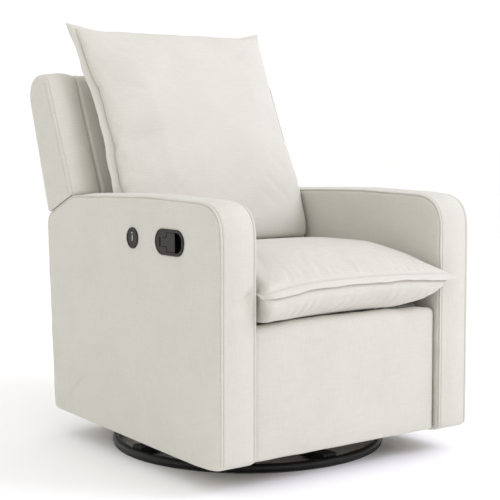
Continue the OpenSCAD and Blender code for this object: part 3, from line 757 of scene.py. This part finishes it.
def wing(name, side):
    loops = []
    for x in WING_STATIONS:
        over = max(x - (ARM_OUT - TOP_CORNER_R), 0)
        top = BACK_TOP - TOP_CORNER_R + math.sqrt(max(TOP_CORNER_R ** 2 - over ** 2, 0))
        points, weights = even_loop(*back_loop(top), 240, 2)
        normals = outward(points)
        offset = blended(weights, [curve_through(curve, x) for curve in (WING_FRONT, WING_TOP, WING_REAR)])
        offset = offset + 0.9 * weights[:, 0] * step01(x, 283, 300) * ripple(at_x(x, points), 110, 11)
        loops.append(at_x(side * x, points + normals * offset[:, None]))
    rim = loops[-1]
    normals = outward(rim[:, 1:])
    middle = rim[:, 1:].mean(0)
    seam = 0.15 + 0.85 * weights[:, 0]
    for inset, out, groove in ((0.8, 0.5, 0), (2.0, 0.8, 0), (3.0, 0.7, 0.5), (3.8, 0.9, 3.2),
                               (4.6, 1.2, 0.3), (7.0, 1.7, 0), (12.0, 2.0, 0)):
        ring = rim.copy()
        ring[:, 0] = side * (ARM_OUT + out - groove * seam)
        ring[:, 1:] -= normals * inset
        loops.append(ring)
    for ring in shrunk(loops[-1], middle, (0.93, 0.8, 0.6, 0.4, 0.2, 0.08)):
        ring[:, 0] = side * (ARM_OUT + 2.4 + 0.6 * ripple(ring[:, 1:], 120, 4))
        loops.append(ring)
    return skin(name, loops, flip=side < 0)


CENTRE_FRONT = [(0, -0.5), (230, -0.5), (255, 0), (262, 0)]
CENTRE_TOP = [(0, 3.0), (180, 2.4), (240, 0.8), (256, 0), (262, 0)]
CENTRE_REAR = [(0, 6.0), (150, 5.0), (220, 2.8), (246, 1.2), (256, 0.4), (260, -0.9), (262, -2.6)]
BACK_SEAM_Z = 866.0


def back_centre(name):
    stations = [262, 261.2, 260, 258, 254, 247, 236] + list(range(220, -1, -20))
    stations = [-x for x in stations] + stations[-2::-1]
    loops = []
    bottom = node_box("back_front_pad")[0][2]
    for x in stations:
        points, weights = even_loop(*back_loop(BACK_TOP, bottom), 440, 3)
        normals = outward(points)
        front, top, rear = [curve_through(curve, abs(x))
                            for curve in (CENTRE_FRONT, CENTRE_TOP, CENTRE_REAR)]
        seam = -3.4 * np.exp(-((points[:, 1] - BACK_SEAM_Z) / 3) ** 2)
        offset = blended(weights, [front, top, rear * step01(points[:, 1], 398, 440) + seam])
        loops.append(at_x(x, points + normals * offset[:, None]))
    return skin(name, loops)


def add_back():
    upholstery(back_centre("back_upholstery"), "backrest",
               ["back_front_pad", "back_top_pad", "back_rear_panel"])
    upholstery(wing("right_wing_upholstery", -1), "backrest", ["right_back_wing"])
    upholstery(wing("left_wing_upholstery", 1), "backrest", ["left_back_wing"])


# -------- flanged cushions

def spread(count):
    """Grid places from -1 to 1, closer together near the ends."""
    t = np.linspace(-1, 1, count - 2)
    inner = (0.55 * t + 0.45 * np.sin(t * math.pi / 2)) * 0.993
    return np.concatenate([[-1], inner, [1]])


def dome(a, b, across, along, power):
    """A crown over a square: 1 in the middle, 0 at the edges, which it meets steeply."""
    return ((1 - np.abs(a) ** across) * (1 - np.abs(b) ** along)) ** power


def bulged(sheet, a, b, height, reach):
    """Moves a sheet's sides out over its seam, most at half height. reach is (across, front, rear)."""
    share = np.sin(math.pi * np.clip(height / height.max(), 0, 1))
    sheet[..., 0] += np.sign(a) * np.abs(a) ** 8 * reach[0] * share
    sheet[..., 1] += np.where(b < 0, -reach[1], reach[2]) * np.abs(b) ** 8 * share


def edge_cells(rows, cols):
    """The cells round a grid's edge, in order."""
    return ([(i, 0) for i in range(rows)] + [(rows - 1, j) for j in range(1, cols)]
            + [(i, cols - 1) for i in range(rows - 2, -1, -1)] + [(0, j) for j in range(cols - 2, 0, -1)])


# The flange's section, from the upper sheet round its rim to the lower one: share of its width and
# height off the seam plane
FLANGE = [(0.11, 2.9), (0.38, 2.7), (0.9, 1.9), (1.0, 0.8), (1.0, -0.8), (0.9, -1.9), (0.38, -2.7),
          (0.11, -2.9)]
SHEET_GAP = 0.1


def flanged_cushion(name, counts, seam, outer, upper, lower, waves, to_world, bulges, cap, ease):
    """A closed form of two sheets joined round a flat flange, inflated as cloth.

    seam(a, b) and outer(a, b) give a place in the cushion's own frame, (across, along, thick).
    upper and lower give how far each sheet stands off the seam plane, and waves the flange's ripple.
    Returns the object and its grid's a and b.
    """
    rows, cols = counts
    a, b = np.meshgrid(spread(rows), spread(cols), indexing="ij")
    base = seam(a, b)
    sheets = []
    for sign, height, reach in ((1, upper(a, b), bulges[0]), (-1, lower(a, b), bulges[1])):
        sheet = base.copy()
        sheet[..., 2] += sign * (SHEET_GAP + height)
        bulged(sheet, a, b, height, reach)
        sheets.append(sheet.reshape(-1, 3))
    border = edge_cells(rows, cols)
    bi, bj = np.array(border).T
    inner_edge = base[bi, bj]
    outer_edge = outer(a[bi, bj], b[bi, bj])
    ripple_size = waves(inner_edge)
    flange = []
    for share, lift in FLANGE:
        ring = inner_edge + (outer_edge - inner_edge) * share
        ring[:, 2] += lift + ripple_size * share
        flange.append(ring)
    count = rows * cols
    points = np.vstack(sheets + flange)

    def at(i, j, sheet):
        return sheet * count + i * cols + j

    faces = []
    for i in range(rows - 1):
        for j in range(cols - 1):
            faces.append((at(i, j, 0), at(i + 1, j, 0), at(i + 1, j + 1, 0), at(i, j + 1, 0)))
            faces.append((at(i, j, 1), at(i, j + 1, 1), at(i + 1, j + 1, 1), at(i + 1, j, 1)))
    first, last = [[at(i, j, sheet) for i, j in border] for sheet in (0, 1)]
    rings = [first] + numbered(len(flange), len(border), 2 * count) + [last]
    faces += [(p, s, r, q) for p, q, r, s in bands(rings)]
    obj = new_mesh(name, to_world(points), faces)
    sharpen(obj, (first, last))
    edge_rows = {at(i, j, sheet) for sheet in (0, 1) for i in range(rows) for j in range(cols)
                 if min(i, j, rows - 1 - i, cols - 1 - j) < 2}
    inflate(obj, sorted(edge_rows | set(range(2 * count, len(points)))), cap, ease)
    return obj, a, b


def sharpen(obj, rings):
    """Keeps closed rings of edges crisp when the mesh is subdivided."""
    pairs = {frozenset(pair) for ring in rings for pair in sides(ring)}
    layer = obj.data.attributes.new("crease_edge", "FLOAT", "EDGE")
    for edge in obj.data.edges:
        layer.data[edge.index].value = 1.0 if frozenset(edge.vertices) in pairs else 0.0


def vertices_of(mesh):
    """A mesh's vertices in millimetres."""
    points = np.zeros(len(mesh.vertices) * 3)
    mesh.vertices.foreach_get("co", points)
    return points.reshape(-1, 3) / MM


def put_vertices(mesh, points):
    mesh.vertices.foreach_set("co", (np.asarray(points) * MM).ravel())
    mesh.update()


CLOTH = {"quality": 6, "mass": 0.3, "tension_stiffness": 18, "compression_stiffness": 18,
         "shear_stiffness": 8, "bending_stiffness": 0.4, "air_damping": 2.5, "use_pressure": True,
         "uniform_pressure_force": 2.5, "shrink_min": -0.004, "vertex_group_mass": "pinned"}
FRAMES = 20


def inflate(obj, pinned, cap, ease):
    """Blows a closed mesh up as cloth and keeps how far each point moved, under a cap.

    ease(points) gives each point's share of its movement, to calm parts that would crumple.
    """
    group = obj.vertex_groups.new(name="pinned")
    group.add(pinned, 1.0, "REPLACE")
    before = vertices_of(obj.data)
    modifier = obj.modifiers.new("cloth", "CLOTH")
    for key, value in CLOTH.items():
        setattr(modifier.settings, key, value)
    modifier.settings.effector_weights.gravity = 0
    modifier.point_cache.frame_start = 1
    modifier.point_cache.frame_end = FRAMES
    scene = bpy.context.scene
    scene.frame_start, scene.frame_end = 1, FRAMES
    for number in range(1, FRAMES + 1):
        scene.frame_set(number)
    move = vertices_of(obj.evaluated_get(bpy.context.evaluated_depsgraph_get()).to_mesh()) - before
    obj.modifiers.clear()
    obj.vertex_groups.clear()
    scene.frame_set(1)
    far = np.maximum(np.linalg.norm(move, axis=1), 1e-6)
    put_vertices(obj.data, before + move * (ease(before) * np.minimum(1, cap / far))[:, None])


def subdivide(obj):
    modifier = obj.modifiers.new("smooth", "SUBSURF")
    modifier.levels = modifier.render_levels = 1
    freeze(obj)


def soft_limit(value, limit, softness=6.0):
    """Holds values below a limit, easing into it."""
    over = (value - limit) / softness
    return limit - softness * np.logaddexp(0, -over)


# Back pillow: its own frame has its origin where the back's front plane meets arm height,
# u up along the back and d in front of it
PILLOW_SIDE = [(-208, 264), (-150, 272), (-90, 276), (-76, 277), (-64, 284), (-53, 295), (-44, 298),
               (0, 298), (60, 295), (90, 291), (160, 290), (235, 288), (300, 296), (340, 300),
               (400, 305), (455, 315)]
PILLOW_FLANGE = 21.0
PILLOW_PUCKERS = (252, 80)


def pillow_world(points):
    u, d = points[..., 1], -points[..., 2]
    y = FRONT_AT[0] + u * math.sin(FRONT_LEAN) + d * math.cos(FRONT_LEAN)
    z = FRONT_AT[1] + u * math.cos(FRONT_LEAN) - d * math.sin(FRONT_LEAN)
    return np.stack([points[..., 0], y, z], -1)


def pillow_top(x):
    """Height of the pillow's top edge, which dips between its ears."""
    return 435 + 21 * step01(np.abs(x), 210, 318)


def pillow_plane(u):
    """How far the seam stands in front of the back."""
    return 96 - 16 * step01(u, 40, 330)


def pillow_seam(a, b, flange=PILLOW_FLANGE):
    low = PILLOW_SIDE[0][0] + flange
    guess = a * 296
    u = low + (pillow_top(guess) - flange - low) * (b + 1) / 2
    between = 1 - step01(u, -72, -44)
    width = flange * (1 - 0.3 * step01(u, 150, 400))
    half = curve_through(PILLOW_SIDE, u) - width + between * max(flange - 7, 0)
    nip = sum(4.5 * np.exp(-((u - at) / 9) ** 2) for at in PILLOW_PUCKERS) * (a < 0) * (flange > 0)
    held = 7 * (1 - step01(u, 60, 240)) * (1 - between) - 10 * np.exp(-((u - 225) / 110) ** 2)
    x = a * (half - (nip + np.where(a > 0, held, 0)) * np.abs(a) ** 8)
    return np.stack([x, u, pillow_plane(u)], -1)


def pillow_outer(a, b):
    outer = pillow_seam(a, b, 0.0)
    outer[..., 2] -= 7
    return outer


def pillow_ease(points):
    x, z = points[:, 0], points[:, 2]
    beside_arm = step01(x, 110, 250) * (1 - step01(z, 740, 880))
    return step01(z, 560, 700) * (1 - 0.7 * step01(z, 950, 1035)) * (1 - 0.85 * beside_arm)


def pillow_upper(a, b):
    thick = 62 - 8 * step01(b, 0.2, 1.0)
    along = np.where(b < 0, 9.0, 4.4)
    return thick * dome(a, b, 4.4, along, 0.42)


def pillow_lower(a, b):
    thick = 80 - 4 * step01(b, 0.2, 1.0)
    return thick * dome(a, b, 3.4, 3.8, 0.45)


def pillow_waves(edge):
    return 2.2 * ripple(edge[:, :2], 120, 21) + 0.8 * ripple(edge[:, :2], 45, 22)


def add_pillow():
    obj, a, _ = flanged_cushion("back_pillow_cover", (84, 90), pillow_seam, pillow_outer,
                                pillow_upper, pillow_lower, pillow_waves, pillow_world,
                                ((9, 12, 18), (4, 4, 4)), 10, pillow_ease)
    points = vertices_of(obj.data)
    y, z = points[:, 1] - FRONT_AT[0], points[:, 2] - FRONT_AT[1]
    d = y * math.cos(FRONT_LEAN) - z * math.sin(FRONT_LEAN)
    u = y * math.sin(FRONT_LEAN) + z * math.cos(FRONT_LEAN)
    d = soft_limit(d, -3.0)
    x = points[:, 0]
    between_arms = 1 - step01(points[:, 2], ARM_TOP - 21, ARM_TOP - 9)
    limit = 276.0 + 60 * (1 - between_arms)
    x = np.sign(x) * np.minimum(soft_limit(np.abs(x), limit, 3.0), np.abs(x) + 1)
    rows = slice(0, a.size)
    inward = (1 - np.abs(a.ravel())) * 290
    for at in PILLOW_PUCKERS:
        angle = (u[rows] - at) / (inward + 14)
        fold = np.cos(5.5 * angle + 0.6) * np.exp(-(angle / 1.1) ** 2) * np.exp(-inward / 30)
        d[rows] -= 1.6 * fold * step01(inward, 0, 9)
    d[rows] -= 0.7 * ripple_along(u[rows], 34, 61) * np.exp(-inward / 24) * step01(inward, 0, 8)
    put_vertices(obj.data, pillow_world(np.stack([x, u, -d], -1)))
    subdivide(obj)
    upholstery(obj, "backrest", ["back_pillow"])


# Seat cushion: across is X, along is Y from front to rear, thick is Z
SEAT_FRONT, SEAT_REAR = -441.0, 136.0
SEAT_HALF = 268.0
BETWEEN_ARMS = 276.5


def seat_seam_z(x):
    left = 10 * (np.clip(x, 0, None) / 270) ** 2
    right = 22 * (np.clip(-x, 0, None) / 270) ** 3
    return 457 - left - right


def seat_seam(a, b):
    """The seam: held by the arms, and flaring a little in front of them."""
    x0 = a * SEAT_HALF
    tucked = 19 * np.clip((-a - 0.93) / 0.07, 0, 1) ** 1.6 - 3 * np.abs(a) ** 4
    y = SEAT_FRONT + (SEAT_REAR - SEAT_FRONT) * (b + 1) / 2 + tucked * (1 - b) / 2
    flare = 13 * (1 - step01(y, -450, -405))
    half = SEAT_HALF + np.where(a < 0, np.minimum(flare, 9), flare)
    z = seat_seam_z(x0) * (1 - (b + 1) / 2) + 446 * (b + 1) / 2
    return np.stack([a * half, y, z], -1)


def seat_outer(a, b):
    seam = seat_seam(a, b)
    corner = step01(np.abs(a), 0.9, 1.0)
    front = b < -0.999
    rear = b > 0.999
    side = np.where(a > 0, np.where(front, 15.0, 8.0), np.where(front, 1.5, 6.0))
    seam[..., 0] += np.where(np.abs(a) > 0.999, np.sign(a) * side, 0)
    ahead = np.where(a > 0, 14 + 4 * corner, 14 - 5 * corner)
    seam[..., 1] += np.where(front, -ahead, 0) + np.where(rear, 10, 0)
    seam[..., 2] += np.where(front, -11.0, -2.0)
    return seam


def seat_upper(a, b):
    across = np.where(a < 0, 30.0, 10.0)
    crown = 64 - 9 * step01(-b, 0.2, 1.0)
    front = np.minimum((1 + b) / 2 * 5.2, 1)
    slope = 1 - 0.28 * (1 - front) ** 1.5
    return crown * slope * ((1 - np.abs(a) ** across) * (1 - np.abs(b) ** 2.8)) ** 0.44


# How deep the cushion hangs below its front seam, from the right arm to the left
SEAT_DEPTH = [(-290, 74), (-250, 79), (-60, 82), (60, 79), (130, 78), (190, 76), (220, 71), (245, 61),
              (262, 49), (275, 34), (282, 14)]


def seat_lower(a, b):
    front = 1 - step01(b, -0.96, -0.5)
    depth = curve_through(SEAT_DEPTH, a * 280) * front + 82 * (1 - front)
    across = (1 - np.abs(a) ** np.where(a < 0, 40.0, 18.0)) ** 0.5
    return depth * across * (1 - np.abs(b) ** 14.0) ** 0.48


def seat_waves(edge):
    front = 1 - step01(edge[:, 1], -430, -380)
    return front * (1.8 * ripple(edge[:, :2], 150, 31) + 0.7 * ripple(edge[:, :2], 50, 32))


def seat_ease(points):
    return 0.15 + 0.85 * step01(points[:, 0], -265, -120)


def add_seat():
    obj, a, b = flanged_cushion("seat_cushion_cover", (110, 84), seat_seam, seat_outer, seat_upper,
                                seat_lower, seat_waves, np.asarray, ((0, 8, 0), (0, 21, 0)), 7, seat_ease)
    points = vertices_of(obj.data)
    count = a.size
    for sheet, sign, size, lean in ((0, 1, 2.4, 0.4), (1, -1, 2.2, 0)):
        rows = slice(sheet * count, (sheet + 1) * count)
        away = (b.ravel() + 1) / 2 * (SEAT_REAR - SEAT_FRONT)
        x = a.ravel() * SEAT_HALF
        fan = x * (1 - 0.0012 * away) - lean * away
        crease = ripple_along(fan, 24, 40 + sheet) * (0.6 + 0.4 * ripple_along(fan, 130, 44 + sheet))
        reach = 42 + 22 * ripple_along(fan, 90, 47 + sheet)
        fade = np.exp(-away / np.maximum(reach, 16)) * step01(away, 0, 14)
        fade = fade * (1 - step01(np.abs(a.ravel()), 0.74, 0.97))
        points[rows, 2] += sign * size * crease * fade
        points[rows, 1] -= 0.8 * size * crease * fade
    x, y, z = points.T
    z = -soft_limit(-z, -node_box("seat_deck")[1][2] - 1.0, 5.0)
    ahead = 1 - step01(y, -418, -404)
    x = np.where(x < 0, -soft_limit(-x, BETWEEN_ARMS + 4 * ahead, 1.5),
                 soft_limit(x, BETWEEN_ARMS + 40 * ahead, 1.5))
    put_vertices(obj.data, np.stack([x, y, z], -1))
    subdivide(obj)
    upholstery(obj, "chassis", ["seat_cushion"])


# -------- flat padded panels

def rounded_rectangle(half_u, half_v, radius, steps=7, along=12):
    """Points round a rectangle with round corners, anticlockwise from its right side."""
    points = []
    for k, (su, sv) in enumerate(((1, 1), (-1, 1), (-1, -1), (1, -1))):
        corner = (su * (half_u - radius), sv * (half_v - radius))
        points.append(arc(corner, radius, k * math.pi / 2, (k + 1) * math.pi / 2, steps))
    ring = []
    for k in range(4):
        ring.append(points[k])
        start, end = points[k][-1], points[(k + 1) % 4][0]
        ring.append(start + (end - start) * np.linspace(0, 1, along + 2)[1:-1, None])
    return np.vstack(ring)


def padded_board(name, half_u, half_v, profile, to_world, radius=9.0):
    """A board-like pad: rings of (inset, depth) from its front face over its edge to its back."""
    loops = []
    for inset, depth in profile:
        ring = rounded_rectangle(half_u - inset, half_v - inset, max(radius - inset, 1.5))
        loops.append(to_world(np.column_stack([ring, np.full(len(ring), float(depth))])))
    return skin(name, loops)


INLET_HOLE_R = 6.7


def add_rear_panel():
    half_u = node_box("rear_panel")[1][0]
    foot, head = np.array([353.5, 64.0]), np.array([376.5, 398.0])
    up = (head - foot) / np.linalg.norm(head - foot)
    half_v = np.linalg.norm(head - foot) / 2
    middle = (foot + head) / 2

    def to_world(p):
        y = middle[0] + p[:, 1] * up[0] + p[:, 2] * up[1]
        z = middle[1] + p[:, 1] * up[1] - p[:, 2] * up[0]
        return np.column_stack([p[:, 0], y, z])

    profile = [(60, -18), (20, -18), (3, -17.6), (0.8, -15.5), (0, -12), (0, -5), (0.8, -2.2), (2.6, -0.6),
               (6.0, 0.1), (8.0, -0.9), (9.0, -1.7), (10.0, -0.9), (12.5, 0.4), (22, 0.7), (44, 0.6),
               (80, 2.2), (120, 3.4), (150, 3.8)]
    panel = padded_board("rear_panel_upholstery", half_u, half_v, profile, to_world)
    inlet, _ = middle_and_size(node_box("power_inlet"))
    ring = arc(inlet[[0, 2]], INLET_HOLE_R, 0, 2 * math.pi, 33)[:-1]
    loops = [np.column_stack([ring[:, 0], np.full(len(ring), y), ring[:, 1]]) for y in (370, 300)]
    cut(panel, [skin("inlet_hole", loops)])
    upholstery(panel, "chassis", ["rear_panel"])


def add_seat_deck():
    middle, size = middle_and_size(node_box("seat_deck"))
    half = size / 2
    h = half[2]
    profile = [(80, -h), (8, -h), (1.5, -h + 1.2), (0, -h + 4), (0, h - 4), (1.2, h - 1.4), (4, h - 0.4),
               (14, h), (18, h - 1.3), (22, h), (80, h + 0.5), (150, h + 0.6)]
    deck = padded_board("seat_deck_cloth", half[0], half[1], profile, lambda p: p + middle)
    upholstery(deck, "chassis", ["seat_deck"], "deck_cloth")


def add_footrest_pad():
    low, high = node_box("footrest_pad")
    board = node_box("footrest_board")
    front, back, inside, above = low[1], high[1], board[0][1], board[1][2]
    high[2] += 5
    shoulder_r, rear_r = 15.0, 9.0
    face = [(front, z) for z in np.linspace(low[2] + 5, high[2] - shoulder_r - 2, 34)]
    shoulder = arc((front + shoulder_r, high[2] - shoulder_r), shoulder_r, math.pi, math.pi / 2, 9)
    rear = arc((back - rear_r, high[2] - rear_r - 1), rear_r, math.pi / 2, 0, 9)
    hidden = [(back, above + 1), (back - 3, above + 0.3), (inside, above + 0.3)]
    hidden += [(inside, z) for z in np.linspace(above - 10, low[2] + 2, 12)]
    foot = [(inside - 3, low[2]), (front + 5, low[2]), (front + 1.5, low[2] + 1.5)]
    loop = np.vstack([face, shoulder, rear, hidden, foot])
    shown = np.concatenate([np.ones(len(face) + len(shoulder)), np.linspace(1, 0.3, len(rear)),
                            np.zeros(len(hidden)), [0, 0.6, 1]])
    normals = outward(loop)
    half = high[0] + 2
    rounding = [(0, 9.5), (0.8, 6.2), (2.2, 3.4), (4.5, 1.2), (7.5, 0), (10.5, -0.4), (14, -0.8)]
    loops = []
    ends = [half - from_end for from_end, _ in rounding[:-1]]
    for x in [-e for e in ends] + list(np.linspace(-half + 14, half - 14, 44)) + ends[::-1]:
        from_end = half - abs(x)
        inset = curve_through(rounding, from_end)
        crown = 5.5 * (1 - (abs(x) / half) ** 3) + 0.8
        height = (loop[:, 1] - low[2]) / (high[2] - low[2])
        body = step01(height, 0.0, 0.12) * (0.55 + 0.45 * step01(height, 0.3, 0.95))
        where = at_x(x, loop)
        near_top = step01(height, 0.8, 1.0)
        crease = 0.9 * near_top * ripple(where[:, :1] * [[1, 0.2]], 38, 51)
        soft = 0.8 * ripple(where, 130, 52)
        offset = shown * (-inset + (crown * body + soft + crease) * step01(from_end, 0, 60))
        loops.append(at_x(x, loop + normals * offset[:, None]))
    pad = skin("footrest_upholstery", loops)
    upholstery(pad, "footrest", ["footrest_pad"])


# -------- trim details

def rim(name, outline, x, width, height):
    """A raised half-round bead along an outline on the right arm's outer face."""
    middle = outline.mean(0)
    normals = outward(outline)
    if ((outline - middle) * normals).sum() < 0:
        normals = -normals
    loops = []
    for t in np.linspace(0, math.pi, 7):
        inset = width * (0.5 - 0.5 * math.cos(t))
        loops.append(at_x(x - height * math.sin(t), outline - normals * inset))
    rings = numbered(len(loops), len(outline))
    dress(new_mesh(name, np.vstack(loops), bands(rings + rings[:1])), "chassis", "dark_plastic")


def add_trim():
    for name, box in (("handle_bezel_rim", BEZEL), ("port_bezel_rim", PORT)):
        middle, size = middle_and_size(box)
        rim(name, stadium(*(size[1:] - 0.6), 40) + middle[1:], box[0][0] + 0.2, 4.2, 1.6)


# -------- put it together

add_camera()
add_studio()
add_floor()
finish_cad_nodes()
soft_edges(["handle_bezel", "handle_lever", "usb_bezel"], 0.5)
add_arms()
add_back()
add_pillow()
add_seat()
add_rear_panel()
add_seat_deck()
add_footrest_pad()
add_trim()
